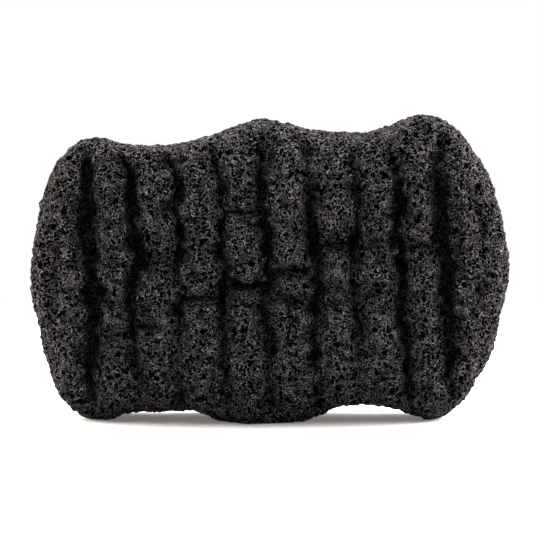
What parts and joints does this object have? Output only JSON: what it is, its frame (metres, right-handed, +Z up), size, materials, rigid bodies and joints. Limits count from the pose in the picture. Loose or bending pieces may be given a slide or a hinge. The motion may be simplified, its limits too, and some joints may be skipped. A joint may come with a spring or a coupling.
{
  "type": "konjac sponge",
  "caption": "Wave-edged block of open-cell konjac foam with a crowned, ribbed front crossed by folds and a plain flat back, for washing the body, standing on its long edge.",
  "frame": {"origin": "on the ground at the middle of the sponge's box, under its centre", "axes": "+X along the sponge to the right in the picture, -Y out of the ribbed front towards the camera, +Z up"},
  "size_m": [0.13, 0.032, 0.0825],
  "materials": {
    "konjac_foam": "matte open-cell charcoal foam"
  },
  "bodies": {
    "root": {"foam_body": "konjac_foam"}
  },
  "joints": []
}
